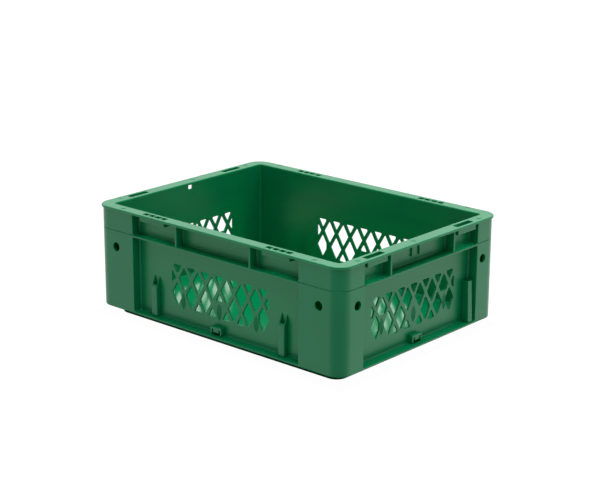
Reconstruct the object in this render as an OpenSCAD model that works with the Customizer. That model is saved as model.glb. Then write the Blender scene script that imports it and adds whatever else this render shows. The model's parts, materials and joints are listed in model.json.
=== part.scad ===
// Stacking plastic crate, 400 x 300 mm footprint, with perforated walls.
// Frame: origin at the centre of the underside of the foot, +X along the long sides,
// +Y towards the back, +Z up. Millimetres.
//
// The real crate is a single injection moulding. It is laid out here as the regions
// a mould maker would name, which meet face to face and never overlap.

/* [Overall] */
// Length over the rim
crate_l = 400; // [380:1:440]
// Width over the rim
crate_w = 300; // [290:1:330]
// Height from the underside of the foot to the top of the rim
crate_h = 141; // [135:1:220]
// Thickness of the moulded walls, floor and shelves
wall_t = 2.5; // [2:0.1:3]

/* [Rim and foot] */
// How far the rim stands out past the post faces
lip_out = 2; // [1:0.5:3]
// Thickness of the rim
rim_t = 3; // [2.5:0.1:4]
// Outer corner radius of the rim, seen from above
rim_r = 20; // [12:1:24]
// Inner corner radius of the rim, seen from above
rim_inner_r = 6; // [3:0.5:10]
// Height of the stacking foot below the corner posts
foot_h = 11; // [6:0.5:14]
// Gap between the foot and the inside of the rim of the crate below
foot_gap = 2; // [1.5:0.5:3]
// Outer corner radius of the foot
foot_r = 14; // [8:1:20]

/* [Walls] */
// Distance from the post faces in to the long walls
recess_long = 12; // [11:0.5:14]
// Distance from the post faces in to the short walls
recess_short = 13; // [12:0.5:15]
// Half the clear length between the posts on a long side
bay_long = 135; // [130:1:140]
// Half the clear length between the posts on a short side
bay_short = 107.5; // [104:0.5:108]
// Height of the top of the ledge that runs round the crate
ledge_z = 112; // [108:1:116]
// Distance of the upper ribs from the middle of each side
rib_x = 60; // [56:1:64]
// Thickness of the upper ribs
rib_t = 3; // [2:0.5:4]

/* [Lattice] */
// Distance between the columns of openings
cell_x = 23.4; // [22:0.1:24]
// Distance between the rows of openings
cell_z = 20; // [19:0.5:21]
// Width of the bars between the openings
bar_t = 4.6; // [3.5:0.1:6]
// Half the length of the perforated window
window_x = 79.2; // [77:0.1:80]
// Bottom of the perforated window
window_z0 = 33; // [32:0.5:34]
// Top of the perforated window
window_z1 = 85.5; // [84:0.5:87]

/* [Hidden] */
$fn = 96;
eps = 0.01;
far = 500;

// post faces and wall faces, as half lengths (x) and half widths (y)
post_x = crate_l/2 - lip_out;
post_y = crate_w/2 - lip_out;
post_r = rim_r - lip_out;
wall_x = post_x - recess_short;
wall_y = post_y - recess_long;
inner_x = wall_x - wall_t;
inner_y = wall_y - wall_t;
foot_x = inner_x - foot_gap;
foot_y = inner_y - foot_gap;

// heights: tops of the bottom flange and of the floor, and underside of the rim
flange_z = foot_h + wall_t;
floor_z = flange_z + wall_t;
rim_z = crate_h - rim_t;

// corner posts: round vent holes, one in each outer face
hole_r = 5.5;
hole_z = 91;
hole_x = 165;
hole_y = 119;

// lattice rows, counted from the top, and the solid struts under the upper ribs
top_row_z = 89;
row_z = [for (i = [0:3]) top_row_z - i*cell_z];
half_x = cell_x/2 - bar_t/sqrt(3);
half_z = cell_z - bar_t;
strut_half = 3.5;
strut_out = rib_x + strut_half;
tri_base_z = 54.5;
short_base_z = 62;

// leaf-shaped blind recesses on the struts, higher up on the short sides
leaf_z_long = 41;
leaf_z_short = 48;
leaf_h = 21;
leaf_w = 8.5;
leaf_depth = 1.5;
leaf_r = (leaf_h*leaf_h + leaf_w*leaf_w)/(4*leaf_w);

// rim slots and the pockets that hang under them
ladder_x0 = 81.5;
ladder_bars = 3;
ladder_bar_t = 2;
ladder_cell = 8.1;
ladder_len = (ladder_bars + 1)*ladder_cell + ladder_bars*ladder_bar_t;
ladder_y0 = crate_w/2 - 11.5;
ladder_y1 = crate_w/2 - 5;
slot_y0 = 69;
slot_len = 31.5;
slot_x0 = crate_l/2 - 12.5;
slot_x1 = crate_l/2 - 4.5;
pocket_t = 2;
pocket_drop_long = 5.5;
pocket_drop_short = 6.7;

// shallow round marks in the rim: near the corners, and one near the middle of a short side
dot_r = 3;
dot_depth = 0.5;
dot_x = 155;
dot_in_long = 6;
dot_y = 114.5;
dot_in_short = 7;
mid_dot_y = 13;
mid_dot_in = 8;

// pegs that stiffen the lower walls near the posts, with a shallow pocket in the sloping top
peg_skin = 1.8;
peg_pocket = 2.5;
peg_w = 10;
peg_x = 104.5;
peg_out = 6.8;
peg_face_z = 51;
peg_top_z = 65;
peg_y = 100;
peg_w_short = 9;
peg_out_short = 11.3;
peg_top_short_z = 66;
peg_draft = 2;

// arched label clips at the foot of each wall
clip_w = 18;
clip_out = 6.6;
clip_h = 10.5;
clip_leg = 2.5;
clip_slot = 2;
clip_bridge = 3;
clip_tongue_gap = 3.5;

// small ribs and a hole under the rim in the middle of the short sides
mini_rib_y = 7;
mini_rib_t = 2;
mini_rib_out = 2;
mini_rib_z = 120;
tag_hole_w = 8;
tag_hole_h = 6;

// grid under the floor
grid_z = 1.5;
grid_t = 2;
grid_nx = 9;
grid_ny = 7;

GREEN = [0.16, 0.42, 0.31];
GREEN_SIDE = [0.20, 0.46, 0.36];
GREEN_RIM = [0.42, 0.66, 0.55];
GREEN_DARK = [0.05, 0.28, 0.19];

// ---- helpers -------------------------------------------------------------

// A box from its lowest to its highest corner
module block(lo, hi) {
  translate(lo) cube(hi - lo);
}

// A rectangle about the origin with round corners
module round_rect(hx, hy, r) {
  square([2*hx, 2*(hy - r)], center = true);
  square([2*(hx - r), 2*hy], center = true);
  for (sx = [-1, 1])
    for (sy = [-1, 1])
      translate([sx*(hx - r), sy*(hy - r)]) circle(r);
}

// The part of a ring that belongs to the front, cut at 45 degrees at the corners
module front_share(hx, hy) {
  reach = hx - hy;
  polygon([[-far - reach, -far], [far + reach, -far], [reach, 0], [-reach, 0]]);
}

// The part of a ring that belongs to the right-hand side
module right_share(hx, hy) {
  reach = hx - hy;
  polygon([[reach, 0], [far + reach, -far], [far + reach, far]]);
}

// Draws the children at the front, or mirrored at the back
module at_front_or_back(back) {
  mirror([0, back ? 1 : 0, 0]) children();
}

// Draws the children at the right, or mirrored at the left
module at_right_or_left(left) {
  mirror([left ? 1 : 0, 0, 0]) children();
}

// Draws the children on both sides of the YZ plane
module both_x() {
  children();
  mirror([1, 0, 0]) children();
}

// Draws the children on both sides of the XZ plane
module both_y() {
  children();
  mirror([0, 1, 0]) children();
}

// ---- base ----------------------------------------------------------------

module floor_plate() {
  color(GREEN)
    translate([0, 0, flange_z])
      linear_extrude(wall_t) round_rect(inner_x, inner_y, rim_inner_r);
}

// Crossed ribs under the floor, inside the foot
module base_grid() {
  in_x = foot_x - wall_t;
  in_y = foot_y - wall_t;
  step_x = 2*in_x/(grid_nx + 1);
  step_y = 2*in_y/(grid_ny + 1);
  color(GREEN_DARK)
    translate([0, 0, grid_z])
      linear_extrude(flange_z - grid_z) {
        for (i = [1:grid_nx])
          translate([-in_x + i*step_x, 0]) square([grid_t, 2*in_y], center = true);
        for (j = [1:grid_ny])
          translate([0, -in_y + j*step_y]) square([2*in_x, grid_t], center = true);
      }
}

module foot_ring_2d() {
  difference() {
    round_rect(foot_x, foot_y, foot_r);
    round_rect(foot_x - wall_t, foot_y - wall_t, foot_r - wall_t);
  }
}

module foot_long(back) {
  color(GREEN_DARK)
    at_front_or_back(back)
      linear_extrude(flange_z)
        intersection() {
          foot_ring_2d();
          front_share(foot_x, foot_y);
        }
}

module foot_short(left) {
  color(GREEN_DARK)
    at_right_or_left(left)
      linear_extrude(flange_z)
        intersection() {
          foot_ring_2d();
          right_share(foot_x, foot_y);
        }
}

// ---- shelves between the posts --------------------------------------------

// A shelf on a long side, outside the wall, with its top at top_z
module shelf_long(top_z) {
  block([-bay_long, -post_y, top_z - wall_t], [bay_long, -wall_y, top_z]);
}

// A shelf on a short side
module shelf_short(top_z) {
  block([wall_x, -bay_short, top_z - wall_t], [post_x, bay_short, top_z]);
}

module bottom_flange_long(back) {
  color(GREEN) at_front_or_back(back) shelf_long(flange_z);
}

module bottom_flange_short(left) {
  color(GREEN_SIDE) at_right_or_left(left) shelf_short(flange_z);
}

module ledge_long(back) {
  color(GREEN) at_front_or_back(back) shelf_long(ledge_z);
}

module ledge_short(left) {
  color(GREEN_SIDE) at_right_or_left(left) shelf_short(ledge_z);
}

// ---- walls ---------------------------------------------------------------

module diamond(x, z) {
  translate([x, z])
    polygon([[-half_x, 0], [0, -half_z], [half_x, 0], [0, half_z]]);
}

// The part of an opening above a flat base
module diamond_above(x, z, base_z) {
  intersection() {
    diamond(x, z);
    translate([x - cell_x, base_z]) square([2*cell_x, 2*cell_z]);
  }
}

// All the openings of one window, drawn in the plane of the wall
module lattice_openings(short) {
  intersection() {
    translate([-window_x, window_z0]) square([2*window_x, window_z1 - window_z0]);
    union() {
      for (k = [-3:3]) diamond(k*cell_x, row_z[0]);
      for (k = [-3.5, -1.5, -0.5, 0.5, 1.5, 3.5]) diamond(k*cell_x, row_z[1]);
      for (k = [-2.5, 2.5]) diamond_above(k*cell_x, row_z[1], short ? short_base_z : 0);
      for (k = [-2, -1, 1, 2]) diamond(k*cell_x, row_z[2]);
      for (k = [-1.5:1.5]) diamond(k*cell_x, row_z[3]);
      if (!short) diamond_above(0, row_z[2], tri_base_z);
      for (s = [-1, 1])
        difference() {
          diamond(s*3*cell_x, row_z[2]);
          translate([-strut_out, 0]) square([2*strut_out, window_z1]);
        }
    }
  }
}

module leaf(z) {
  intersection_for (s = [-1, 1])
    translate([s*(leaf_r - leaf_w/2), z]) circle(leaf_r);
}

// A lower wall, flat on the XZ plane, with its outer face at y = 0
module lower_panel(half_l, short) {
  difference() {
    block([-half_l, 0, foot_h], [half_l, wall_t, ledge_z]);
    translate([0, wall_t + eps, 0])
      rotate([90, 0, 0])
        linear_extrude(wall_t + 2*eps) lattice_openings(short);
    for (x = [-rib_x, 0, rib_x])
      translate([x, leaf_depth, 0])
        rotate([90, 0, 0])
          linear_extrude(leaf_depth + eps) leaf(short ? leaf_z_short : leaf_z_long);
  }
}

module lower_wall_long(back) {
  color(GREEN) at_front_or_back(back) translate([0, -wall_y, 0]) lower_panel(wall_x, false);
}

module lower_wall_short(left) {
  color(GREEN_SIDE)
    at_right_or_left(left)
      translate([wall_x, 0, 0]) rotate([0, 0, 90]) lower_panel(inner_y, true);
}

module upper_wall_long(back) {
  color(GREEN)
    at_front_or_back(back)
      block([-wall_x, -wall_y, ledge_z], [wall_x, -inner_y, rim_z]);
}

// The short upper wall has a small hole under the rim
module upper_wall_short(left) {
  color(GREEN_SIDE)
    at_right_or_left(left)
      difference() {
        block([inner_x, -inner_y, ledge_z], [wall_x, inner_y, rim_z]);
        block([inner_x - eps, -tag_hole_w/2, rim_z - tag_hole_h],
              [wall_x + eps, tag_hole_w/2, rim_z + eps]);
      }
}

module upper_ribs_long(back) {
  color(GREEN)
    at_front_or_back(back)
      both_x()
        block([rib_x - rib_t/2, -post_y, ledge_z], [rib_x + rib_t/2, -wall_y, rim_z]);
}

module upper_ribs_short(left) {
  color(GREEN_SIDE)
    at_right_or_left(left)
      both_y() {
        block([wall_x, rib_x - rib_t/2, ledge_z], [post_x, rib_x + rib_t/2, rim_z]);
        block([wall_x, mini_rib_y - mini_rib_t/2, mini_rib_z],
              [wall_x + mini_rib_out, mini_rib_y + mini_rib_t/2, rim_z]);
      }
}

// ---- corner posts ----------------------------------------------------------

// The hollow between a post's skin and the walls, or the whole post when t is 0
module post_plan(t) {
  intersection() {
    difference() {
      round_rect(post_x - t, post_y - t, post_r - t);
      square([2*wall_x, 2*wall_y], center = true);
    }
    translate([bay_long + t, bay_short + t]) square(far);
  }
}

// The back right-hand post, mirrored into the other corners
module corner_post(sx, sy) {
  color(sx > 0 ? GREEN_SIDE : GREEN)
    mirror([sx < 0 ? 1 : 0, 0, 0])
      mirror([0, sy < 0 ? 1 : 0, 0])
        difference() {
          translate([0, 0, foot_h])
            linear_extrude(rim_z - foot_h)
              difference() {
                post_plan(0);
                post_plan(wall_t);
              }
          translate([hole_x, post_y + eps, hole_z])
            rotate([90, 0, 0]) cylinder(r = hole_r, h = wall_t + 2*eps);
          translate([post_x - wall_t - eps, hole_y, hole_z])
            rotate([0, 90, 0]) cylinder(r = hole_r, h = wall_t + 2*eps);
        }
}

// ---- rim -------------------------------------------------------------------

module rim_ring_2d() {
  difference() {
    round_rect(crate_l/2, crate_w/2, rim_r);
    round_rect(inner_x, inner_y, rim_inner_r);
  }
}

// A shallow round mark in the top of the rim
module dot(x, y) {
  translate([x, y, crate_h - dot_depth]) cylinder(r = dot_r, h = dot_depth + eps);
}

module rim_long(back) {
  color(GREEN_RIM)
    at_front_or_back(back)
      difference() {
        translate([0, 0, rim_z])
          linear_extrude(rim_t)
            intersection() {
              rim_ring_2d();
              front_share(crate_l/2, crate_w/2);
            }
        both_x() {
          block([ladder_x0, -ladder_y1, rim_z - eps],
                [ladder_x0 + ladder_len, -ladder_y0, crate_h + eps]);
          dot(dot_x, -crate_w/2 + dot_in_long);
        }
      }
}

// The bars that divide each long slot into cells
module slot_bars_long(back) {
  pitch = ladder_cell + ladder_bar_t;
  color(GREEN_RIM)
    at_front_or_back(back)
      both_x()
        for (i = [1:ladder_bars])
          block([ladder_x0 + i*pitch - ladder_bar_t, -ladder_y1, rim_z],
                [ladder_x0 + i*pitch, -ladder_y0, crate_h]);
}

module rim_short(left) {
  color(GREEN_RIM)
    at_right_or_left(left)
      difference() {
        translate([0, 0, rim_z])
          linear_extrude(rim_t)
            intersection() {
              rim_ring_2d();
              right_share(crate_l/2, crate_w/2);
            }
        both_y() {
          block([slot_x0, slot_y0, rim_z - eps], [slot_x1, slot_y0 + slot_len, crate_h + eps]);
          dot(crate_l/2 - dot_in_short, dot_y);
        }
        dot(crate_l/2 - mid_dot_in, left ? mid_dot_y : -mid_dot_y);
      }
}

// Open-bottomed pockets under the ladder slots of a long side
module rim_pockets_long(back) {
  z0 = rim_z - pocket_drop_long;
  color(GREEN)
    at_front_or_back(back)
      both_x()
        difference() {
          block([ladder_x0 - pocket_t, -post_y, z0],
                [ladder_x0 + ladder_len + pocket_t, -wall_y, rim_z]);
          block([ladder_x0, -ladder_y1, z0 - eps],
                [ladder_x0 + ladder_len, -ladder_y0, rim_z + eps]);
        }
}

// Open-bottomed pockets under the plain slots of a short side
module rim_pockets_short(left) {
  z0 = rim_z - pocket_drop_short;
  color(GREEN_SIDE)
    at_right_or_left(left)
      both_y()
        difference() {
          block([wall_x, slot_y0 - pocket_t, z0], [post_x, slot_y0 + slot_len + pocket_t, rim_z]);
          block([slot_x0, slot_y0, z0 - eps], [slot_x1, slot_y0 + slot_len, rim_z + eps]);
        }
}

// ---- pegs and clips ----------------------------------------------------------

// A peg lying on its side, with the wall at x = 0, the outside towards +x and up towards +y
module peg(w, out_top, out_bottom, face_z, top_z) {
  difference() {
    linear_extrude(w)
      polygon([[0, flange_z], [out_bottom, flange_z], [out_top, face_z], [0, top_z]]);
    block([-eps, face_z - peg_pocket, peg_skin], [out_top - peg_skin, top_z + eps, w - peg_skin]);
  }
}

module wall_pegs_long(back) {
  color(GREEN)
    at_front_or_back(back)
      both_x()
        translate([peg_x + peg_w/2, -wall_y, 0])
          rotate([90, 0, -90]) peg(peg_w, peg_out, peg_out, peg_face_z, peg_top_z);
}

// A short side has one peg: at the back on the right, and at the front on the left
module wall_pegs_short(left) {
  color(GREEN_SIDE)
    rotate([0, 0, left ? 180 : 0])
      translate([wall_x, peg_y + peg_w_short/2, 0])
        rotate([90, 0, 0])
          peg(peg_w_short, peg_out_short - peg_draft, peg_out_short, peg_top_short_z,
              peg_top_short_z);
}

// A clip seen from outside: two legs, a bridge and a tongue that stops short of the flange
module clip_face() {
  difference() {
    translate([-clip_w/2, flange_z]) square([clip_w, clip_h]);
    both_x()
      translate([clip_w/2 - clip_leg - clip_slot, flange_z - eps])
        square([clip_slot, clip_h - clip_bridge]);
    translate([-clip_w/2 + clip_leg, flange_z - eps])
      square([clip_w - 2*clip_leg, clip_tongue_gap]);
  }
}

module label_clip_long(back) {
  color(GREEN)
    at_front_or_back(back)
      translate([0, -wall_y, 0]) rotate([90, 0, 0]) linear_extrude(clip_out) clip_face();
}

module label_clip_short(left) {
  color(GREEN_SIDE)
    at_right_or_left(left)
      translate([wall_x, 0, 0])
        rotate([90, 0, 90]) linear_extrude(clip_out) clip_face();
}

// ---- nodes -----------------------------------------------------------------

floor_plate();
base_grid();
foot_long(false);  // foot_front
foot_long(true);  // foot_back
foot_short(true);  // foot_left
foot_short(false);  // foot_right
bottom_flange_long(false);  // bottom_flange_front
bottom_flange_long(true);  // bottom_flange_back
bottom_flange_short(true);  // bottom_flange_left
bottom_flange_short(false);  // bottom_flange_right
lower_wall_long(false);  // lower_wall_front
lower_wall_long(true);  // lower_wall_back
lower_wall_short(true);  // lower_wall_left
lower_wall_short(false);  // lower_wall_right
ledge_long(false);  // ledge_front
ledge_long(true);  // ledge_back
ledge_short(true);  // ledge_left
ledge_short(false);  // ledge_right
upper_wall_long(false);  // upper_wall_front
upper_wall_long(true);  // upper_wall_back
upper_wall_short(true);  // upper_wall_left
upper_wall_short(false);  // upper_wall_right
upper_ribs_long(false);  // upper_ribs_front
upper_ribs_long(true);  // upper_ribs_back
upper_ribs_short(true);  // upper_ribs_left
upper_ribs_short(false);  // upper_ribs_right
corner_post(-1, -1);  // corner_post_front_left
corner_post(1, -1);  // corner_post_front_right
corner_post(-1, 1);  // corner_post_back_left
corner_post(1, 1);  // corner_post_back_right
rim_long(false);  // rim_front
rim_long(true);  // rim_back
rim_short(true);  // rim_left
rim_short(false);  // rim_right
slot_bars_long(false);  // slot_bars_front
slot_bars_long(true);  // slot_bars_back
rim_pockets_long(false);  // rim_pockets_front
rim_pockets_long(true);  // rim_pockets_back
rim_pockets_short(true);  // rim_pockets_left
rim_pockets_short(false);  // rim_pockets_right
wall_pegs_long(false);  // wall_pegs_front
wall_pegs_long(true);  // wall_pegs_back
wall_pegs_short(true);  // wall_pegs_left
wall_pegs_short(false);  // wall_pegs_right
label_clip_long(false);  // label_clip_front
label_clip_long(true);  // label_clip_back
label_clip_short(true);  // label_clip_left
label_clip_short(false);  // label_clip_right
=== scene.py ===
# %% [markdown]
# # A stacking plastic crate
#
# The real crate is one injection moulding: a steel mould with sliding side cores makes the
# outer shape and its recesses, and an inner core makes the hollow for the goods. A mould gives
# its parts soft edges, because sharp steel tears the plastic, so every inside corner has a
# fillet and every outside edge a small radius.
#
# This lesson builds the crate the way the mould does. A plain body is lofted first, and then
# cores with rounded edges are subtracted from it, so each fillet comes from a core. The
# finished body is cut into the named regions of the fixed frame at the end.

import json
import math

import bmesh
import bpy
from mathutils import Matrix, Vector

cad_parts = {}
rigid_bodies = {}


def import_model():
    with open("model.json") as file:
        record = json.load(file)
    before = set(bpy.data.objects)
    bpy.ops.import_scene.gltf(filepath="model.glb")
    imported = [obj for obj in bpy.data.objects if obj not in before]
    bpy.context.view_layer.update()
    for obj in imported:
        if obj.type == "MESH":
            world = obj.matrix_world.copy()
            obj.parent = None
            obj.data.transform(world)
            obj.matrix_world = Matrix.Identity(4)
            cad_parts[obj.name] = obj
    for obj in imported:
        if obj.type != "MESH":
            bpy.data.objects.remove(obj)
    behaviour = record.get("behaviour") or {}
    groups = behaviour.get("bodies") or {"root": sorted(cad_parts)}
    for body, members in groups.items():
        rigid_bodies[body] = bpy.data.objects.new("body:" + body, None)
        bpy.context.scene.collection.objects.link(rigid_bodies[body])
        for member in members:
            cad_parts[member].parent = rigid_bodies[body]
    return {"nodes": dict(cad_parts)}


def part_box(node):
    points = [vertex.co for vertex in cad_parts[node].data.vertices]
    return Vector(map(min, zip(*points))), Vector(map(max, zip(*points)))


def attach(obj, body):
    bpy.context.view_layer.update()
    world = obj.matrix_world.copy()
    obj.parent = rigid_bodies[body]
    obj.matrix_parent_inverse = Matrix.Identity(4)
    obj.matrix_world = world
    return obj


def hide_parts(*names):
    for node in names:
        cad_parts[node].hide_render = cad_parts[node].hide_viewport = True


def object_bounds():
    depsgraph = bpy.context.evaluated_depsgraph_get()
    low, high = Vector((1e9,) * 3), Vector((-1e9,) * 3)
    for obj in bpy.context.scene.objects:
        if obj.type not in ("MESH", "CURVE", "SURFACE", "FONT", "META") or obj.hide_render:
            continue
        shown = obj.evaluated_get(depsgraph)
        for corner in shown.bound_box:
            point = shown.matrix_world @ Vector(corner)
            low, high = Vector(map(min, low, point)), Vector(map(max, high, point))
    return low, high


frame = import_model()
cad_box = [list(corner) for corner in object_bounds()]
MM = 0.001
print("frame nodes:", len(frame["nodes"]), "box:", cad_box)

# %% [markdown]
# ## Sizes from the frame
#
# Every place comes from the corners of a frame node, so the looks and the frame can't drift
# apart. The long sides face -Y and +Y, and the short sides face -X and +X. Each side is made
# in the same three directions: u along the side, d outwards from the middle of the crate, and
# w upwards.

# %% Read the sizes of the long and the short sides
rim_hi = Vector(cad_box[1])
floor_lo, floor_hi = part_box("floor_plate")
foot_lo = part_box("foot_front")[0]
ledge_lo, ledge_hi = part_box("ledge_front")
flange_lo, flange_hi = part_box("bottom_flange_front")
post_lo, post_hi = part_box("corner_post_back_right")
wall_front_lo, wall_front_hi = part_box("lower_wall_front")
wall_right_lo, wall_right_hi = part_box("lower_wall_right")
short_foot_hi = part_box("foot_right")[1]

RIM_TOP = rim_hi.z
RIM_UNDER = post_hi.z
LEDGE_TOP = ledge_hi.z
LEDGE_UNDER = ledge_lo.z
FLANGE_TOP = flange_hi.z
SKIRT = flange_lo.z
FLOOR_TOP = floor_hi.z
FLOOR_UNDER = floor_lo.z
WALL_THICK = wall_front_hi.y - wall_front_lo.y

LONG = {"face": post_hi.y, "wall": -wall_front_lo.y, "inner": -wall_front_hi.y, "bay": post_lo.x,
        "foot": -foot_lo.y}
SHORT = {"face": post_hi.x, "wall": wall_right_hi.x, "inner": wall_right_lo.x, "bay": post_lo.y,
         "foot": short_foot_hi.x}
SIDES = {"front": (0, LONG), "right": (90, SHORT), "back": (180, LONG), "left": (270, SHORT)}
print("long side", LONG)
print("short side", SHORT)

# %% [markdown]
# ## Rounded outlines and lofts
#
# A loft joins rings of points into one closed shell. Every part of the mould, from the body to
# the smallest core, is such a shell, so two short helpers make them all: one gives the ring of
# a rectangle with round corners, the other skins a list of rings.

# %% Helpers for rings and lofts
CORNER_STEPS = 8


def round_rect(u0, u1, w0, w1, radii, steps=CORNER_STEPS):
    """Points of a rectangle with round corners, anticlockwise from its upper right corner."""
    if not isinstance(radii, (list, tuple)):
        radii = [radii] * 4
    points = []
    signs = ((1, 1), (-1, 1), (-1, -1), (1, -1))
    for k, (r, (su, sw)) in enumerate(zip(radii, signs)):
        cu = (u1 if su > 0 else u0) - su * r
        cw = (w1 if sw > 0 else w0) - sw * r
        for i in range(steps + 1):
            a = math.radians(90 * k + 90 * i / steps)
            points.append((cu + r * math.cos(a), cw + r * math.sin(a)))
    return points


def solid(name, verts, faces):
    """An object from points and faces, with its faces turned outwards."""
    mesh = bpy.data.meshes.new(name)
    mesh.from_pydata(verts, [], faces)
    shell = bmesh.new()
    shell.from_mesh(mesh)
    bmesh.ops.recalc_face_normals(shell, faces=shell.faces)
    shell.to_mesh(mesh)
    shell.free()
    piece = bpy.data.objects.new(name, mesh)
    bpy.context.scene.collection.objects.link(piece)
    return piece


def loft(name, rings):
    """A closed shell through rings that have the same number of points."""
    n = len(rings[0])
    verts = [p for ring in rings for p in ring]
    last = (len(rings) - 1) * n
    faces = [list(range(n))[::-1], [last + i for i in range(n)]]
    for k in range(len(rings) - 1):
        for i in range(n):
            j = (i + 1) % n
            faces.append((k * n + i, k * n + j, (k + 1) * n + j, (k + 1) * n + i))
    return solid(name, verts, faces)


def arc(steps, start, end):
    """Cosine and sine of evenly spaced angles, in degrees."""
    return [(math.cos(math.radians(start + (end - start) * i / steps)),
             math.sin(math.radians(start + (end - start) * i / steps)))
            for i in range(steps + 1)]


# %% [markdown]
# ## The plain body
#
# Without its side recesses the crate is a set of rounded rectangles stacked upwards: up the
# outside of the foot and the posts, round the lip of the rim, over the rounded inner edge, and
# down the inside to the floor. One loft makes it. The radii are the ones a mould maker would
# use: about a millimetre on outer edges, and two or three in the corners of the inside.

# %% Loft the body
POST_R = 18 * MM
LIP_R = 20 * MM
INNER_R = 3.2 * MM
FOOT_R = 14 * MM
EDGE_R = 0.8 * MM
LIP_EDGE_R = 1.2 * MM
LIP_UNDER_R = LIP_EDGE_R * 0.6
RIM_ROLL = 1.4 * MM
FLOOR_FILLET = 2.5 * MM
PARTING_Z = LEDGE_TOP
PARTING_DEEP = 0.5 * MM
PARTING_HALF = 0.5 * MM
FILLET_STEPS = 5
LEAST_R = 0.4 * MM


def level(half_x, half_y, radius, z):
    """A ring of the body at one height."""
    return [(x, y, z) for x, y in round_rect(-half_x, half_x, -half_y, half_y, radius)]


def inset_level(side_x, side_y, radius, inset, z):
    return level(side_x - inset, side_y - inset, max(radius - inset, LEAST_R), z)


body_rings = []
# underside of the floor, then down the inside of the foot
body_rings.append(inset_level(SHORT["foot"], LONG["foot"], FOOT_R, WALL_THICK, FLOOR_UNDER))
for c, s in arc(3, 180, 270):
    body_rings.append(inset_level(SHORT["foot"], LONG["foot"], FOOT_R,
                                  WALL_THICK - EDGE_R * (1 + c), EDGE_R * (1 + s)))
for c, s in arc(3, 270, 360):
    body_rings.append(inset_level(SHORT["foot"], LONG["foot"], FOOT_R,
                                  EDGE_R * (1 - c), EDGE_R * (1 + s)))
body_rings.append(inset_level(SHORT["foot"], LONG["foot"], FOOT_R, 0, SKIRT))
# out along the underside of the posts and up their outside
for c, s in arc(4, 270, 360):
    body_rings.append(inset_level(SHORT["face"], LONG["face"], POST_R,
                                  EDGE_R * (1 - c), SKIRT + EDGE_R * (1 + s)))
# the parting line: a shallow groove where the side cores end
for inset, dz in ((0, -1), (1, 0), (0, 1)):
    body_rings.append(inset_level(SHORT["face"], LONG["face"], POST_R, inset * PARTING_DEEP,
                                  PARTING_Z + dz * PARTING_HALF))
# a fillet under the lip, and round the lip
for c, s in arc(4, 0, 75):
    body_rings.append(inset_level(SHORT["face"], LONG["face"], POST_R,
                                  -EDGE_R * (1 - c), RIM_UNDER - EDGE_R * (1 - s)))
body_rings.append(inset_level(rim_hi.x, rim_hi.y, LIP_R, LIP_UNDER_R, RIM_UNDER))
for c, s in arc(3, 300, 360):
    body_rings.append(inset_level(rim_hi.x, rim_hi.y, LIP_R,
                                  LIP_UNDER_R * (1 - c), RIM_UNDER + LIP_UNDER_R * (1 + s)))
for c, s in arc(FILLET_STEPS, 0, 90):
    body_rings.append(inset_level(rim_hi.x, rim_hi.y, LIP_R,
                                  LIP_EDGE_R * (1 - c), RIM_TOP - LIP_EDGE_R * (1 - s)))
# over the rolled inner edge and down the inside
for c, s in arc(FILLET_STEPS, 90, 180):
    body_rings.append(inset_level(SHORT["inner"], LONG["inner"], INNER_R,
                                  -RIM_ROLL * (1 + c), RIM_TOP - RIM_ROLL * (1 - s)))
for c, s in arc(FILLET_STEPS, 0, 90):
    body_rings.append(inset_level(SHORT["inner"], LONG["inner"], INNER_R,
                                  FLOOR_FILLET * (1 - c), FLOOR_TOP + FLOOR_FILLET * (1 - s)))
body = loft("body", body_rings)
print("body rings:", len(body_rings))

# %% [markdown]
# ## Side cores
#
# Each side is recessed between its posts: one large bay below the ledge and three smaller ones
# under the rim. A core is a rounded block that narrows at its inner end, which leaves a fillet
# all round the wall, and flares at its mouth, which rounds the edge that the hand feels. The
# turn helper puts a core made for the front on any side.

# %% Cores for the bays
CORE_FILLET = 2.2 * MM
MOUTH_R = 0.7 * MM
MOUTH_END = 75
CLEAR = 0.15 * MM
CRISP_R = 0.3 * MM


def on_side(u, d, w, turn):
    """A point given along, out of and up a side, in the crate's own directions."""
    c, s = math.cos(math.radians(turn)), math.sin(math.radians(turn))
    return (u * c + d * s, u * s - d * c, w)


def flare_steps(edge_r, at, way=1):
    """Depth and flare of a rounded mouth that ends just outside the plane at a depth."""
    steps = [(at - way * edge_r * (1 - s), edge_r * (1 - c)) for c, s in arc(4, 0, MOUTH_END)]
    d, flare = steps[-1]
    run = abs(at + way * CLEAR - d)
    steps.append((at + way * CLEAR, flare + run * math.tan(math.radians(MOUTH_END))))
    return steps


def bay_core(name, turn, side, u0, u1, w0, w1, under_rim):
    """A side core: fillets at the wall, round edges at the mouth."""
    rings = []

    def add(d, inset, flare):
        top = w1 if under_rim else w1 - inset + flare
        r_low = max(CORE_FILLET - inset + flare, CRISP_R)
        r_top = CRISP_R if under_rim else r_low
        outline = round_rect(u0 + inset - flare, u1 - inset + flare, w0 + inset - flare, top,
                             (r_top, r_top, r_low, r_low), 5)
        rings.append([on_side(u, d, w, turn) for u, w in outline])

    for c, s in arc(FILLET_STEPS, 0, 90):
        add(side["wall"] + CORE_FILLET * (1 - c), CORE_FILLET * (1 - s), 0)
    for d, flare in flare_steps(MOUTH_R, side["face"]):
        add(d, 0, flare)
    return loft(name, rings)


RIB_THICK = 3 * MM
RIB_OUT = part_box("upper_ribs_front")[1].x
RIB_IN = RIB_OUT - RIB_THICK
ROOF = RIM_UNDER - 0.03 * MM

cores = []
for place, (turn, side) in SIDES.items():
    cores.append(bay_core("core", turn, side, -side["bay"], side["bay"],
                          FLANGE_TOP, LEDGE_UNDER, False))
    for u0, u1 in ((-side["bay"], -RIB_OUT), (-RIB_IN, RIB_IN), (RIB_OUT, side["bay"])):
        cores.append(bay_core("core", turn, side, u0, u1, LEDGE_TOP, ROOF, True))
print("side cores:", len(cores))

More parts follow.
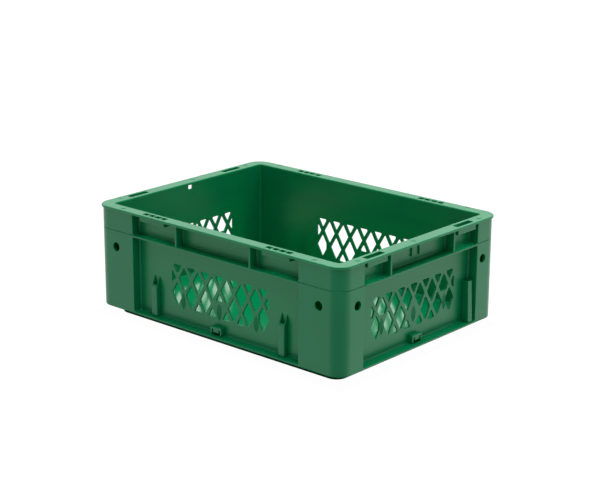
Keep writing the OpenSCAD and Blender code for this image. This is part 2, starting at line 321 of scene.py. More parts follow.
# %% [markdown]
# ## Cutting with cores
#
# Blender's Boolean modifier subtracts one closed shell from another. The cores of one step
# are joined first, because one large cut is much quicker than many small ones. The result is
# taken from the evaluated object as a plain mesh, so no modifier stays behind.

# %% Helpers for joining and cutting


def join(name, pieces):
    """One object from several, with the others removed."""
    shell = bmesh.new()
    for piece in pieces:
        shell.from_mesh(piece.data)
    mesh = bpy.data.meshes.new(name)
    shell.to_mesh(mesh)
    shell.free()
    for piece in pieces:
        bpy.data.objects.remove(piece)
    joined = bpy.data.objects.new(name, mesh)
    bpy.context.scene.collection.objects.link(joined)
    return joined


def baked(piece):
    """The piece's evaluated mesh, with its modifiers built in."""
    bpy.context.view_layer.update()
    graph = bpy.context.evaluated_depsgraph_get()
    return bpy.data.meshes.new_from_object(piece.evaluated_get(graph))


def combine(piece, tool, operation):
    """The mesh of piece combined with tool; both stay as they are."""
    cut = piece.modifiers.new("cut", "BOOLEAN")
    cut.operation = operation
    cut.solver = "MANIFOLD"
    cut.object = tool
    mesh = baked(piece)
    piece.modifiers.remove(cut)
    return mesh


def cut_away(piece, tool):
    piece.data = combine(piece, tool, "DIFFERENCE")
    bpy.data.objects.remove(tool)


cut_away(body, join("bays", cores))
print("body with its bays:", len(body.data.polygons), "faces")

# %% [markdown]
# ## Hollow posts
#
# A post is a skin round a hollow that opens downwards, which keeps the wall thickness even so
# that the moulding cools without sink marks. The hollow is an L in plan, so it is lofted from
# an outline that follows the post's round corner and then turns in along both walls.

# %% Hollow out the corner posts
POST_SKIN = 2.5 * MM


def post_hollow(sx, sy):
    """The hollow behind the skin of one post, from below the skirt to under the rim."""
    x_out = SHORT["face"] - POST_SKIN
    y_out = LONG["face"] - POST_SKIN
    x_end = LONG["bay"] + POST_SKIN
    y_end = SHORT["bay"] + POST_SKIN
    r = POST_R - POST_SKIN
    outline = [(x_end, LONG["wall"]), (SHORT["wall"], LONG["wall"]), (SHORT["wall"], y_end),
               (x_out, y_end)]
    outline += [(x_out - r + r * c, y_out - r + r * s) for c, s in arc(10, 0, 90)]
    outline.append((x_end, y_out))
    rings = [[(sx * x, sy * y, z) for x, y in outline]
             for z in (SKIRT - CLEAR, RIM_UNDER)]
    return loft("hollow", rings)


cut_away(body, join("hollows", [post_hollow(sx, sy) for sx in (-1, 1) for sy in (-1, 1)]))

# %% [markdown]
# ## Window openings
#
# The lattice windows are rows of diamonds, and the rows are cut off flat at the top, the
# bottom and the ends of the window, which leaves triangles and half diamonds. Each opening is a
# small core with a rounded mouth on both faces of the wall. Clipping a diamond with straight
# lines gives every shape, and all of them are convex, so growing a shape for its mouth means
# moving each edge outwards.

# %% Helpers for convex openings


def clip(points, axis, limit, keep_below):
    """The part of a convex outline on one side of a line of constant u (axis 0) or w (1)."""
    sign = 1 if keep_below else -1
    kept = []
    for i, p in enumerate(points):
        q = points[(i + 1) % len(points)]
        p_in = sign * (limit - p[axis]) >= 0
        q_in = sign * (limit - q[axis]) >= 0
        if p_in:
            kept.append(p)
        if p_in != q_in:
            t = (limit - p[axis]) / (q[axis] - p[axis])
            kept.append((p[0] + t * (q[0] - p[0]), p[1] + t * (q[1] - p[1])))
    return kept


def softened_outline(points, grow, radius, steps=5):
    """A convex outline with its edges moved outwards and its corners rounded."""
    n = len(points)
    edges = []
    for i in range(n):
        (ax, ay), (bx, by) = points[i], points[(i + 1) % n]
        length = math.hypot(bx - ax, by - ay)
        nx, ny = (by - ay) / length, -(bx - ax) / length
        edges.append((nx, ny, nx * ax + ny * ay + grow - radius))
    outline = []
    for i in range(n):
        (n1x, n1y, o1), (n2x, n2y, o2) = edges[i - 1], edges[i]
        det = n1x * n2y - n1y * n2x
        cx = (o1 * n2y - o2 * n1y) / det
        cy = (n1x * o2 - n2x * o1) / det
        a1, a2 = math.atan2(n1y, n1x), math.atan2(n2y, n2x)
        if a2 < a1:
            a2 += 2 * math.pi
        for k in range(steps + 1):
            a = a1 + (a2 - a1) * k / steps
            outline.append((cx + radius * math.cos(a), cy + radius * math.sin(a)))
    return outline


OPENING_R = 1.4 * MM
OPENING_EDGE = 0.5 * MM


def opening_core(points):
    """A core for one opening, through a wall whose outer face is at depth 0."""
    rings = []
    mouths = [(-WALL_THICK - d, f) for d, f in flare_steps(OPENING_EDGE, 0)][::-1]
    mouths += flare_steps(OPENING_EDGE, 0)
    for d, flare in mouths:
        ring = softened_outline(points, flare, OPENING_R + flare)
        rings.append([(u, -d, w) for u, w in ring])
    return loft("opening", rings)


# %% [markdown]
# ## Rows with Geometry Nodes
#
# Openings, leaf marks and slot bars all repeat along a straight row, which is what Geometry
# Nodes are good at: a Mesh Line gives the places, Instance on Points sets a copy of the core on
# each, and Realize Instances makes them real, so the row can be cut or exported. The tree has
# named inputs, and one tree serves every row.

# %% The row tree
moulded_plastic = bpy.data.materials.new("moulded_polyethylene")


def row_tree():
    tree = bpy.data.node_groups.new("row_of_copies", "GeometryNodeTree")
    sockets = (("Copy", "INPUT", "NodeSocketObject"), ("Count", "INPUT", "NodeSocketInt"),
               ("Pitch", "INPUT", "NodeSocketFloat"), ("Start", "INPUT", "NodeSocketVector"),
               ("Finish", "INPUT", "NodeSocketMaterial"), ("Row", "OUTPUT", "NodeSocketGeometry"))
    for name, way, kind in sockets:
        tree.interface.new_socket(name, in_out=way, socket_type=kind)
    given = tree.nodes.new("NodeGroupInput")
    made = tree.nodes.new("NodeGroupOutput")
    step = tree.nodes.new("ShaderNodeCombineXYZ")
    line = tree.nodes.new("GeometryNodeMeshLine")
    copy = tree.nodes.new("GeometryNodeObjectInfo")
    place = tree.nodes.new("GeometryNodeInstanceOnPoints")
    real = tree.nodes.new("GeometryNodeRealizeInstances")
    finish = tree.nodes.new("GeometryNodeSetMaterial")
    links = ((given.outputs["Pitch"], step.inputs["X"]),
             (given.outputs["Count"], line.inputs["Count"]),
             (given.outputs["Start"], line.inputs["Start Location"]),
             (step.outputs["Vector"], line.inputs["Offset"]),
             (given.outputs["Copy"], copy.inputs["Object"]),
             (line.outputs["Mesh"], place.inputs["Points"]),
             (copy.outputs["Geometry"], place.inputs["Instance"]),
             (place.outputs["Instances"], real.inputs["Geometry"]),
             (real.outputs["Geometry"], finish.inputs["Geometry"]),
             (given.outputs["Finish"], finish.inputs["Material"]),
             (finish.outputs["Geometry"], made.inputs["Row"]))
    for source, target in links:
        tree.links.new(source, target)
    return tree


ROW_TREE = row_tree()


def row_of(copy, count, pitch, start):
    """A plain object with count copies, pitch apart along X, from start. The copy is removed."""
    host = bpy.data.objects.new("row", bpy.data.meshes.new("row"))
    bpy.context.scene.collection.objects.link(host)
    repeat = host.modifiers.new("repeat", "NODES")
    repeat.node_group = ROW_TREE
    values = {"Copy": copy, "Count": count, "Pitch": pitch, "Start": start,
              "Finish": moulded_plastic}
    for item in ROW_TREE.interface.items_tree:
        if item.name in values:
            repeat[item.identifier] = values[item.name]
    mesh = baked(host)
    host.modifiers.remove(repeat)
    host.data = mesh
    bpy.data.objects.remove(copy)
    return host


# %% [markdown]
# ## The two window patterns
#
# Long and short sides share one pattern, with two differences. On the long sides a small
# triangle sits above the middle strut. On the short sides the struts reach higher, which cuts
# off the diamonds above the outer ones.

# %% Lay out the openings of a window
CELL_U = 23.4 * MM
CELL_W = 20 * MM
BAR = 4.6 * MM
TOP_ROW = 89 * MM
WINDOW_HALF = 79.2 * MM
WINDOW_TOP = 85.5 * MM
WINDOW_SILL = 33 * MM
STRUT_EDGE = 63.5 * MM
SMALL_SILL = 54.5 * MM
HIGH_SILL = 62 * MM
half_u = CELL_U / 2 - BAR / math.sqrt(3)
half_w = CELL_W - BAR
row_w = [TOP_ROW - i * CELL_W for i in range(4)]


def diamond(u, w):
    return [(u + half_u, w), (u, w + half_w), (u - half_u, w), (u, w - half_w)]


def window(short):
    """All opening cores of one window, for a wall whose outer face is the plane Y = 0."""
    rows = [(clip(diamond(0, row_w[0]), 1, WINDOW_TOP, True), 7, CELL_U, -3 * CELL_U)]
    rows.append((diamond(0, row_w[1]), 4 if short else 6, CELL_U,
                 (-1.5 if short else -2.5) * CELL_U))
    if short:
        rows.append((clip(diamond(0, row_w[1]), 1, HIGH_SILL, False), 2, 5 * CELL_U,
                     -2.5 * CELL_U))
    else:
        rows.append((clip(diamond(0, row_w[2]), 1, SMALL_SILL, False), 1, 0, 0))
    for s in (-1, 1):
        end = clip(diamond(s * 3.5 * CELL_U, row_w[1]), 0, s * WINDOW_HALF, s > 0)
        rows.append((end, 1, 0, 0))
        rows.append((diamond(0, row_w[2]), 2, CELL_U, (1.5 * s - 0.5) * CELL_U))
        beside = clip(diamond(s * 3 * CELL_U, row_w[2]), 0, s * STRUT_EDGE, s < 0)
        rows.append((beside, 1, 0, 0))
    rows.append((clip(diamond(0, row_w[3]), 1, WINDOW_SILL, False), 4, CELL_U, -1.5 * CELL_U))
    made = [row_of(opening_core(shape), count, pitch, (start, 0, 0))
            for shape, count, pitch, start in rows]
    return join("window", made)


def moved(piece, turn, out):
    """The piece pushed out along -Y by a distance, then turned about the crate's middle."""
    piece.data.transform(Matrix.Rotation(math.radians(turn), 4, "Z")
                         @ Matrix.Translation((0, -out, 0)))
    return piece


def copied(piece):
    twin = piece.copy()
    twin.data = piece.data.copy()
    bpy.context.scene.collection.objects.link(twin)
    return twin


# %% [markdown]
# ## Leaf marks, post holes and the small holes
#
# The struts carry leaf-shaped grooves with a crease down the middle, where two curved flanks
# meet. Round holes go through the skin of every post, and a small square hole sits under the
# rim in the middle of each short side.

# %% Make those cores
LEAF_HIGH = 21 * MM
LEAF_WIDE = 8.5 * MM
LEAF_DEEP = 2.35 * MM
LEAF_STEP = 0.35 * MM
LEAF_W = {"long": 41 * MM, "short": 48 * MM}
LEAF_STEPS = 16
STRUT_U = 60 * MM
HOLE_R = 5.5 * MM
HOLE_W = 91 * MM
HOLE_STEPS = 40
HOLE_DEPTH = 4 * MM
HOLE_EDGE = 0.5 * MM
HOLE_U = {"long": 165 * MM, "short": 119 * MM}


def leaf_core():
    """A boat-shaped core centred on w = 0: upright sides at the deck, then flanks to a keel."""
    rings = []
    for i in range(LEAF_STEPS + 1):
        t = -1 + 2 * i / LEAF_STEPS
        fullness = max(1 - t * t, 0.03)
        wide = LEAF_WIDE / 2 * fullness
        keel = LEAF_STEP + (LEAF_DEEP - LEAF_STEP) * fullness
        w = t * LEAF_HIGH / 2
        rings.append([(-wide, -CLEAR, w), (-wide, LEAF_STEP, w), (0, keel, w),
                      (wide, LEAF_STEP, w), (wide, -CLEAR, w)])
    return loft("leaf", rings)


def round_core(radius, edge_r, depth):
    """A round core along -Y with a rounded mouth at Y = 0 and its end at a depth."""
    rings = []
    profile = [(-depth, 0)] + flare_steps(edge_r, 0)
    for d, flare in profile:
        turns = [2 * math.pi * i / HOLE_STEPS for i in range(HOLE_STEPS)]
        rings.append([((radius + flare) * math.cos(a), -d, (radius + flare) * math.sin(a))
                      for a in turns])
    return loft("round_hole", rings)


TAG_HALF = 4 * MM
TAG_HIGH = 6 * MM
TAG_R = 1 * MM


def tag_core():
    outline = round_rect(-TAG_HALF, TAG_HALF, RIM_UNDER - TAG_HIGH, ROOF,
                         (CRISP_R, CRISP_R, TAG_R, TAG_R), 3)
    return loft("tag_hole", [[(u, y, w) for u, w in outline]
                             for y in (-CLEAR, WALL_THICK + CLEAR)])


# %% Cut the windows, marks and holes into the body
windows = {"long": window(False), "short": window(True)}
side_cuts = []
leaf_cuts = []
for place, (turn, side) in SIDES.items():
    kind = "long" if side is LONG else "short"
    side_cuts.append(moved(copied(windows[kind]), turn, side["wall"]))
    leaves = row_of(leaf_core(), 3, STRUT_U, (-STRUT_U, 0, LEAF_W[kind]))
    leaf_cuts.append(moved(leaves, turn, side["wall"]))
    holes = row_of(round_core(HOLE_R, HOLE_EDGE, HOLE_DEPTH), 2, 2 * HOLE_U[kind],
                   (-HOLE_U[kind], 0, HOLE_W))
    side_cuts.append(moved(holes, turn, side["face"]))
    if kind == "short":
        side_cuts.append(moved(tag_core(), turn, side["wall"]))
for piece in windows.values():
    bpy.data.objects.remove(piece)
# a leaf may touch an opening, and one cut must not overlap itself, so leaves are cut alone
cut_away(body, join("side_cuts", side_cuts))
cut_away(body, join("leaf_cuts", leaf_cuts))
print("body with its windows:", len(body.data.polygons), "faces")

# %% [markdown]
# ## Slots and marks in the rim
#
# Long slots run through the rim above the pockets, for clips and lids. The shallow round marks
# are where ejector pins push the warm crate off its core.

# %% Cut the rim
SLOT_EDGE = 0.45 * MM
SLOT_R = 0.8 * MM
SLOT_BELOW = 1 * MM
LADDER_U = (81.5 * MM, 81.5 * MM + 38.4 * MM)
LADDER_D = (138.5 * MM, 145 * MM)
PLAIN_U = (69 * MM, 100.5 * MM)
PLAIN_D = (187.5 * MM, 195.5 * MM)
DOT_R = 3 * MM
DOT_DEEP = 0.5 * MM
DOTS = {"long": ((-155, 144), (155, 144)), "short": ((-114.5, 193), (114.5, 193), (-13, 192))}


def slot_core(u0, u1, d0, d1, turn, radius, bottom):
    """A core that stands in the rim, with a rounded mouth at the top."""
    rings = []
    for z, flare in [(bottom, 0)] + flare_steps(SLOT_EDGE, RIM_TOP):
        outline = round_rect(u0 - flare, u1 + flare, d0 - flare, d1 + flare, radius + flare, 4)
        rings.append([on_side(u, d, z, turn) for u, d in outline])
    return loft("slot", rings)


rim_cuts = []
for place, (turn, side) in SIDES.items():
    kind = "long" if side is LONG else "short"
    (u0, u1), (d0, d1) = (LADDER_U, LADDER_D) if kind == "long" else (PLAIN_U, PLAIN_D)
    for a, b in ((u0, u1), (-u1, -u0)):
        rim_cuts.append(slot_core(a, b, d0, d1, turn, SLOT_R, RIM_UNDER - SLOT_BELOW))
    for u, d in DOTS[kind]:
        rim_cuts.append(slot_core(u * MM - DOT_R, u * MM + DOT_R, d * MM - DOT_R,
                                  d * MM + DOT_R, turn, DOT_R * 0.99, RIM_TOP - DOT_DEEP))
cut_away(body, join("rim_cuts", rim_cuts))
print("finished body:", len(body.data.polygons), "faces")

# %% [markdown]
# ## Cutting the body into its named regions
#
# The frame names each region of the moulding, so the body is cut along the same planes. Every
# region is the body's intersection with a prism, so it is closed, and the regions meet face to
# face. Cuts cross fillets squarely, where the surface runs straight, so they don't show.

# %% Regions
FAR = 0.4
FILLET_SPAN = 3 * MM
CORNER_SPAN = 11 * MM


def prism(outline, z0, z1):
    return loft("region", [[(x, y, z) for x, y in outline] for z in (z0, z1)])


def mitred(turn, half_x, half_y):
    """The share of a rectangular ring that belongs to one side, cut at 45 degrees."""
    reach = half_x - half_y
    if turn in (0, 180):
        share = [(-FAR - reach, -FAR), (FAR + reach, -FAR), (reach, 0), (-reach, 0)]
    else:
        share = [(FAR, -FAR + reach), (FAR, FAR - reach), (reach, 0)]
    if turn in (180, 270):
        share = [(-x, -y) for x, y in share]
    return share


def strip(turn, u_half, d0, d1):
    corners = ((-u_half, d0), (u_half, d0), (u_half, d1), (-u_half, d1))
    return [on_side(u, d, 0, turn)[:2] for u, d in corners]


MID_BAY = (FLANGE_TOP + LEDGE_UNDER) / 2
LOW_FILLET = FLOOR_TOP + FLOOR_FILLET + 1 * MM
ABOVE_LEDGE = LEDGE_TOP + FILLET_SPAN
regions = {}
regions["floor_plate"] = [(strip(0, SHORT["inner"], -LONG["inner"], LONG["inner"]),
                           SKIRT, LOW_FILLET)]
for place, (turn, side) in SIDES.items():
    regions["foot_" + place] = [(mitred(turn, SHORT["foot"], LONG["foot"]), -FAR, SKIRT)]
    regions["rim_" + place] = [(mitred(turn, rim_hi.x, rim_hi.y), RIM_UNDER, FAR)]
    clear = side["bay"] - FILLET_SPAN
    out = strip(turn, clear, side["wall"], FAR)
    regions["bottom_flange_" + place] = [(out, SKIRT, MID_BAY)]
    regions["ledge_" + place] = [(out, MID_BAY, ABOVE_LEDGE)]
    regions["upper_ribs_" + place] = [(out, ABOVE_LEDGE, RIM_UNDER)]
    if side is LONG:
        full = strip(turn, SHORT["wall"], LONG["inner"], LONG["wall"])
        deep = strip(turn, SHORT["wall"], LONG["inner"] - CORNER_SPAN, LONG["wall"])
    else:
        full = strip(turn, LONG["inner"], SHORT["inner"], SHORT["wall"])
        deep = strip(turn, LONG["inner"] - CORNER_SPAN, SHORT["inner"] - FILLET_SPAN,
                     SHORT["wall"])
    regions["lower_wall_" + place] = [(full, SKIRT, LOW_FILLET), (deep, LOW_FILLET, LEDGE_TOP)]
    regions["upper_wall_" + place] = [(deep, LEDGE_TOP, RIM_UNDER)]
for sy, depth_name in ((-1, "front"), (1, "back")):
    for sx, side_name in ((-1, "left"), (1, "right")):
        x_end = LONG["bay"] - FILLET_SPAN
        y_end = SHORT["bay"] - FILLET_SPAN
        ell = [(x_end, LONG["wall"]), (SHORT["wall"], LONG["wall"]), (SHORT["wall"], y_end),
               (FAR, y_end), (FAR, FAR), (x_end, FAR)]
        ell = [(sx * x, sy * y) for x, y in ell]
        regions["corner_post_%s_%s" % (depth_name, side_name)] = [(ell, SKIRT, RIM_UNDER)]
print("regions of the body:", len(regions))

# %% Cut them out, and check that they are closed


def open_edges(mesh):
    shell = bmesh.new()
    shell.from_mesh(mesh)
    count = sum(1 for e in shell.edges if not e.is_manifold)
    shell.free()
    return count


parts = {}
for name, prisms in regions.items():
    made = []
    for outline, z0, z1 in prisms:
        tool = prism(outline, z0, z1)
        mesh = combine(body, tool, "INTERSECT")
        bpy.data.objects.remove(tool)
        share = bpy.data.objects.new(name, mesh)
        bpy.context.scene.collection.objects.link(share)
        made.append(share)
    parts[name] = join("crate_" + name, made)
bpy.data.objects.remove(body)
leaks = {name: open_edges(part.data) for name, part in parts.items()
         if open_edges(part.data)}
print("parts:", len(parts), "with open edges:", leaks)

# %% [markdown]
# ## Small ribs
#
# The middle bay of each short side has two small ribs side by side. They are too slight for a
# core of their own, so each is a short loft with rounded front edges, joined to the tall ribs.

# %% Add the small ribs
SMALL_RIB_U = 7 * MM
SMALL_RIB_THICK = 2 * MM
SMALL_RIB_OUT = 2 * MM
SMALL_RIB_FOOT = 120 * MM
SMALL_RIB_EDGE = 0.5 * MM
SMALL_RIB_SOFT = 0.15 * MM


def small_rib(u, turn, wall):
    """A small rib centred at u, standing out from a wall."""
    rings = []
    for out, inset in ((0, 0), (SMALL_RIB_OUT - SMALL_RIB_EDGE, 0),
                       (SMALL_RIB_OUT - SMALL_RIB_SOFT, SMALL_RIB_SOFT),
                       (SMALL_RIB_OUT, SMALL_RIB_EDGE)):
        half = SMALL_RIB_THICK / 2 - inset
        outline = round_rect(u - half, u + half, SMALL_RIB_FOOT + inset, RIM_UNDER, CRISP_R, 2)
        rings.append([on_side(a, wall + out, w, turn) for a, w in outline])
    return loft("small_rib", rings)


for place in ("right", "left"):
    turn, side = SIDES[place]
    ribs = [small_rib(u, turn, side["wall"]) for u in (-SMALL_RIB_U, SMALL_RIB_U)]
    name = "upper_ribs_" + place
    parts[name] = join("crate_" + name, [parts[name]] + ribs)
print("small ribs:", 2 * len(ribs))

# %% [markdown]
# ## Small details that stand in the bays
#
# Pockets under the slots, pegs, label clips, slot bars and the grid under the floor are simple
# shapes whose frame solids are right. A copy of each is cleaned up, so that its loose triangles
# become whole faces again, and its edges get a small radius.

# %% Soften copies of the frame's small parts


def softened_copy(node, radius, steps=3):
    """A copy of a frame node with whole faces and rounded edges."""
    mesh = frame["nodes"][node].data.copy()
    shell = bmesh.new()
    shell.from_mesh(mesh)
    bmesh.ops.remove_doubles(shell, verts=shell.verts, dist=0.01 * MM)
    bmesh.ops.dissolve_limit(shell, angle_limit=math.radians(2), verts=shell.verts,
                             edges=shell.edges)
    bmesh.ops.recalc_face_normals(shell, faces=shell.faces)
    shell.to_mesh(mesh)
    shell.free()
    mesh.materials.clear()
    piece = bpy.data.objects.new("crate_" + node, mesh)
    bpy.context.scene.collection.objects.link(piece)
    bevel = piece.modifiers.new("edges", "BEVEL")
    bevel.width = radius
    bevel.segments = steps
    bevel.limit_method = "ANGLE"
    bevel.angle_limit = math.radians(30)
    smooth = baked(piece)
    piece.modifiers.remove(bevel)
    piece.data = smooth
    return piece


details = {"rim_pockets": 0.6 * MM, "wall_pegs": 1.0 * MM, "label_clip": 0.6 * MM}
for group, radius in details.items():
    for place in SIDES:
        node = group + "_" + place
        parts[node] = softened_copy(node, radius)
for place in ("front", "back"):
    parts["slot_bars_" + place] = softened_copy("slot_bars_" + place, 0.35 * MM)
parts["base_grid"] = softened_copy("base_grid", 0.3 * MM, 2)
print("parts with their details:", len(parts))

# %% [markdown]
# ## Smooth shading
#
# A rounded edge only looks round if its normals turn evenly and the flat faces beside it stay
# flat. Weighted Normal does that: large faces decide the normals at their corners, and edges
# sharper than the limit stay sharp.

# %% Shade every part
SHARP = math.radians(27)
for part in parts.values():
    part.data.shade_smooth()
    part.data.set_sharp_from_angle(angle=SHARP)
    weigh = part.modifiers.new("normals", "WEIGHTED_NORMAL")
    weigh.keep_sharp = True
    weigh.weight = 60
    mesh = baked(part)
    part.modifiers.remove(weigh)
    part.data = mesh

# %% [markdown]
# ## Moulded polyethylene
#
# The crate is high-density polyethylene, dyed a deep green all through. The steel leaves an
# even satin on the walls and a gloss on the flat floor. Shrinking adds a faint ripple, and
# the cores drag very fine upright lines.
#
# Such walls let a little daylight through, which is why the inside glows where a wall is
# single and darkens where a post, rib or peg stands behind it. A share of Translucent shading
# does that by itself, because every surface on the way takes its part of the light.

# %% The plastic's nodes


def linear(hex_colour):
    """The linear colour of an sRGB hex value."""
    out = []
    for i in (1, 3, 5):
        c = int(hex_colour[i:i + 2], 16) / 255
        out.append(c / 12.92 if c <= 0.04045 else ((c + 0.055) / 1.055) ** 2.4)
    return (*out, 1.0)


def node(tree, kind, settings=(), inputs=(), links=()):
    """Adds a node, sets its properties and inputs, and links sockets into it."""
    made = tree.nodes.new(kind)
    for name, value in dict(settings).items():
        setattr(made, name, value)
    for name, value in dict(inputs).items():
        made.inputs[name].default_value = value
    for name, source in dict(links).items():
        tree.links.new(source, made.inputs[name])
    return made


PER_MM = 1 / MM
GLOW_SHARE = 0.23


def finish_plastic(material, roughest, smoothest, drag_strength):
    """Builds the plastic's nodes. Its skin reflects a little less than its IOR alone gives."""
    material.use_nodes = True
    tree = material.node_tree
    tree.nodes.clear()
    place = node(tree, "ShaderNodeTexCoord").outputs["Object"]
    # melt that cooled unevenly: patches about 60 mm across, barely different in shade
    patches = node(tree, "ShaderNodeTexNoise", inputs={"Scale": PER_MM / 60, "Detail": 2.0},
                   links={"Vector": place})
    shade = node(tree, "ShaderNodeMix", settings={"data_type": "RGBA"},
                 links={"Factor": patches.outputs["Fac"]})
    shade.inputs["A"].default_value = linear("#008250")
    shade.inputs["B"].default_value = linear("#008E59")
    # drag marks: 1.5 mm apart across the wall and 80 mm long up it
    stretch = node(tree, "ShaderNodeMapping", inputs={"Scale": (1.0, 1.0, 0.02)},
                   links={"Vector": place})
    drag = node(tree, "ShaderNodeTexNoise", inputs={"Scale": PER_MM / 1.5, "Detail": 2.0},
                links={"Vector": stretch.outputs["Vector"]})
    # ripple: 9 mm waves a few microns deep
    ripple = node(tree, "ShaderNodeTexNoise", inputs={"Scale": PER_MM / 9, "Detail": 3.0},
                  links={"Vector": place})
    gloss = node(tree, "ShaderNodeMapRange", inputs={"To Min": smoothest, "To Max": roughest},
                 links={"Value": drag.outputs["Fac"]})
    waves = node(tree, "ShaderNodeBump", inputs={"Strength": 0.12, "Distance": 0.12 * MM},
                 links={"Height": ripple.outputs["Fac"]})
    marks = node(tree, "ShaderNodeBump", inputs={"Strength": drag_strength,
                                                 "Distance": 0.03 * MM},
                 links={"Height": drag.outputs["Fac"], "Normal": waves.outputs["Normal"]})
    surface = node(tree, "ShaderNodeBsdfPrincipled",
                   inputs={"IOR": 1.52, "Specular IOR Level": 0.34},
                   links={"Base Color": shade.outputs["Result"],
                          "Roughness": gloss.outputs["Result"],
                          "Normal": marks.outputs["Normal"]})
    glow = node(tree, "ShaderNodeBsdfTranslucent", inputs={"Color": linear("#00C060")})
    plastic = node(tree, "ShaderNodeMixShader", inputs={"Fac": GLOW_SHARE})
    tree.links.new(surface.outputs["BSDF"], plastic.inputs[1])
    tree.links.new(glow.outputs["BSDF"], plastic.inputs[2])
    node(tree, "ShaderNodeOutputMaterial", links={"Surface": plastic.outputs["Shader"]})


finish_plastic(moulded_plastic, 0.38, 0.28, 0.05)
polished_plastic = bpy.data.materials.new("moulded_polyethylene_glossy_floor")
finish_plastic(polished_plastic, 0.16, 0.10, 0.02)
print("finishes:", moulded_plastic.name, polished_plastic.name)

# %% Hand every part to the frame
for name, part in parts.items():
    part.data.materials.clear()
    finish = polished_plastic if name == "floor_plate" else moulded_plastic
    part.data.materials.append(finish)
    for polygon in part.data.polygons:
        polygon.material_index = 0
    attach(part, "root")
    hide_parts(name)
print("pieces:", len(parts), "triangles:",
      sum(len(p.vertices) - 2 for part in parts.values() for p in part.data.polygons))

# %% [markdown]
# ## Floor, light and camera
#
# Low soft panels stand round the crate, with a gap for the camera; one broad panel is behind
# it, and two hang overhead. The world's light draws the standing panels, and area lights are
# the hanging ones. The floor is a plain pale sheet, kept out of bounce light and reflections,
# because a white sheet so close would wash out the green. Round the foot, where the floor lies
# in the crate's shade, a narrow near-black sheet that the camera doesn't see stands in for that
# shaded floor: it is painted shade, which darkens the foot and the underside.

# %% Stage
FLOOR_HALF = 12.0
PAPER_GLOW = 0.985
floor = solid("studio_floor", [(-FLOOR_HALF, -FLOOR_HALF, 0), (FLOOR_HALF, -FLOOR_HALF, 0),
                               (FLOOR_HALF, FLOOR_HALF, 0), (-FLOOR_HALF, FLOOR_HALF, 0)],
              [(0, 1, 2, 3)])
paper = bpy.data.materials.new("white_paper")
paper.use_nodes = True
paper_nodes = paper.node_tree
paper_nodes.nodes.clear()
sheet = node(paper_nodes, "ShaderNodeBsdfPrincipled",
             inputs={"Base Color": linear("#303030"), "Roughness": 0.9,
                     "Emission Color": (1.0, 1.0, 1.0, 1.0),
                     "Emission Strength": PAPER_GLOW})
node(paper_nodes, "ShaderNodeOutputMaterial", links={"Surface": sheet.outputs["BSDF"]})
floor.data.materials.append(paper)
floor.visible_diffuse = False
floor.visible_glossy = False
floor.visible_transmission = False

# Painted shade: a near-black sheet round and under the foot, hidden from the camera, stands in
# for the floor lying in the crate's shade.
SHADE_SHEET_MARGIN = 24 * MM
SHADE_SHEET_UNDER = 50 * MM
SHADE_SHEET_LIFT = 0.05 * MM
shade_sheet_in = (SHORT["foot"] - SHADE_SHEET_UNDER, LONG["foot"] - SHADE_SHEET_UNDER)
shade_sheet_out = (SHORT["foot"] + SHADE_SHEET_MARGIN, LONG["foot"] + SHADE_SHEET_MARGIN)
shade_sheet = solid("dark_mat", [(sx * x, sy * y, SHADE_SHEET_LIFT) for x, y in (shade_sheet_in, shade_sheet_out)
                         for sx, sy in ((-1, -1), (1, -1), (1, 1), (-1, 1))],
            [(i, (i + 1) % 4, 4 + (i + 1) % 4, 4 + i) for i in range(4)])
# The sheet's near-black colour is painted shade for the shaded floor by the foot.
shade_sheet_finish = bpy.data.materials.new("painted_shade_black")
shade_sheet_finish.use_nodes = True
shade_sheet_nodes = shade_sheet_finish.node_tree
shade_sheet_nodes.nodes.clear()
shade_sheet_surface = node(shade_sheet_nodes, "ShaderNodeBsdfDiffuse", inputs={"Color": linear("#101010")})
node(shade_sheet_nodes, "ShaderNodeOutputMaterial", links={"Surface": shade_sheet_surface.outputs["BSDF"]})
shade_sheet.data.materials.append(shade_sheet_finish)
shade_sheet.visible_camera = False
print("stage:", floor.name, shade_sheet.name)

# %% Light
GAP_SIDE = (0.6619, -0.7496, 0.0)
GAP_DARK = 0.62
LOW_LEVEL = 2.0
LOW_LEAN = (0.25, 0.0, 0.0)
ABOVE_LOW = 0.22
BELOW_LOW = 0.80
PANEL_SIDE = (-0.66, 0.75, 0.0)
PANEL_LEVEL = 3.1
world = bpy.data.worlds.new("soft_panels")
bpy.context.scene.world = world
world.use_nodes = True
studio = world.node_tree
studio.nodes.clear()
way = node(studio, "ShaderNodeTexCoord").outputs["Generated"]
height = node(studio, "ShaderNodeSeparateXYZ", links={"Vector": way}).outputs["Z"]


def along(direction):
    """How far the way looks along a direction."""
    return node(studio, "ShaderNodeVectorMath", settings={"operation": "DOT_PRODUCT"},
                inputs={1: direction}, links={0: way}).outputs["Value"]


def fade(source, start, end, first, last):
    """Goes smoothly from a first to a last value between two values of the source."""
    return node(studio, "ShaderNodeMapRange", settings={"interpolation_type": "SMOOTHSTEP"},
                inputs={"From Min": start, "From Max": end, "To Min": first, "To Max": last},
                links={"Value": source}).outputs["Result"]


def math_of(operation, a, b):
    """Two values put together by a Math node."""
    return node(studio, "ShaderNodeMath", settings={"operation": operation},
                links={0: a, 1: b}).outputs["Value"]


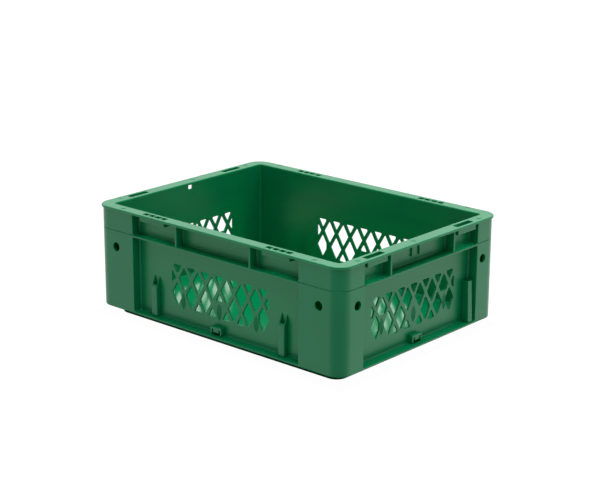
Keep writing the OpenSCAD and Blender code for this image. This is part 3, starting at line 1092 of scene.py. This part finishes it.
level = node(studio, "ShaderNodeMath", settings={"operation": "ADD"}, inputs={1: LOW_LEVEL},
             links={0: along(LOW_LEAN)}).outputs["Value"]
for factor in (fade(along(GAP_SIDE), 0.0, 0.8, 1.0, 1 - GAP_DARK),
               fade(height, -0.12, 0.15, 1.0, ABOVE_LOW),
               fade(height, -0.7, -0.34, BELOW_LOW, 1.0)):
    level = math_of("MULTIPLY", level, factor)
panel = math_of("MULTIPLY", fade(along(PANEL_SIDE), 0.4, 0.75, 0.0, PANEL_LEVEL),
                math_of("MULTIPLY", fade(height, 0.21, 0.31, 0.0, 1.0),
                        fade(height, 0.5, 0.65, 1.0, 0.0)))
panels = node(studio, "ShaderNodeBackground", links={"Strength": math_of("ADD", level, panel)})
node(studio, "ShaderNodeOutputWorld", links={"Surface": panels.outputs["Background"]})


def soft_light(name, place, target, size, power):
    lamp = bpy.data.lights.new(name, "AREA")
    lamp.shape = "RECTANGLE"
    lamp.size = size[0]
    lamp.size_y = size[1]
    lamp.energy = power
    holder = bpy.data.objects.new(name, lamp)
    bpy.context.scene.collection.objects.link(holder)
    holder.location = place
    holder.rotation_euler = (Vector(target) - Vector(place)).to_track_quat("-Z", "Y").to_euler()
    return holder


soft_light("overhead", (0.1, 0.35, 2.0), (0, 0, 0.1), (1.5, 1.5), 42)
soft_light("overhead_front", (0.55, -0.70, 2.0), (0, 0, 0.1), (1.0, 1.0), 13)
print("lights:", world.name, "and two panels overhead")

# %% Camera
LENS = 98.15
SENSOR = 36.0
SHIFT = (0.0073, -0.0060)
CAMERA_PLACE = (1.2810, -1.4506, 0.6882)
cam_data = bpy.data.cameras.new("camera")
cam_data.lens = LENS
cam_data.sensor_width = SENSOR
cam_data.shift_x, cam_data.shift_y = SHIFT
cam_data.clip_start = 0.1
cam_data.clip_end = 60.0
camera = bpy.data.objects.new("camera", cam_data)
bpy.context.scene.collection.objects.link(camera)
azimuth, rise, roll = math.radians(41.443), math.radians(16.717), math.radians(0.267)
back = Vector((math.sin(azimuth) * math.cos(rise), -math.cos(azimuth) * math.cos(rise),
               math.sin(rise)))
level_right = Vector((math.cos(azimuth), math.sin(azimuth), 0))
level_up = back.cross(level_right)
right = math.cos(roll) * level_right + math.sin(roll) * level_up
up = -math.sin(roll) * level_right + math.cos(roll) * level_up
camera.matrix_world = (Matrix.Translation(CAMERA_PLACE)
                       @ Matrix((right, up, back)).transposed().to_4x4())
bpy.context.scene.camera = camera
bpy.context.scene.view_settings.view_transform = "Standard"
print("camera lens:", LENS, "mm at", CAMERA_PLACE)
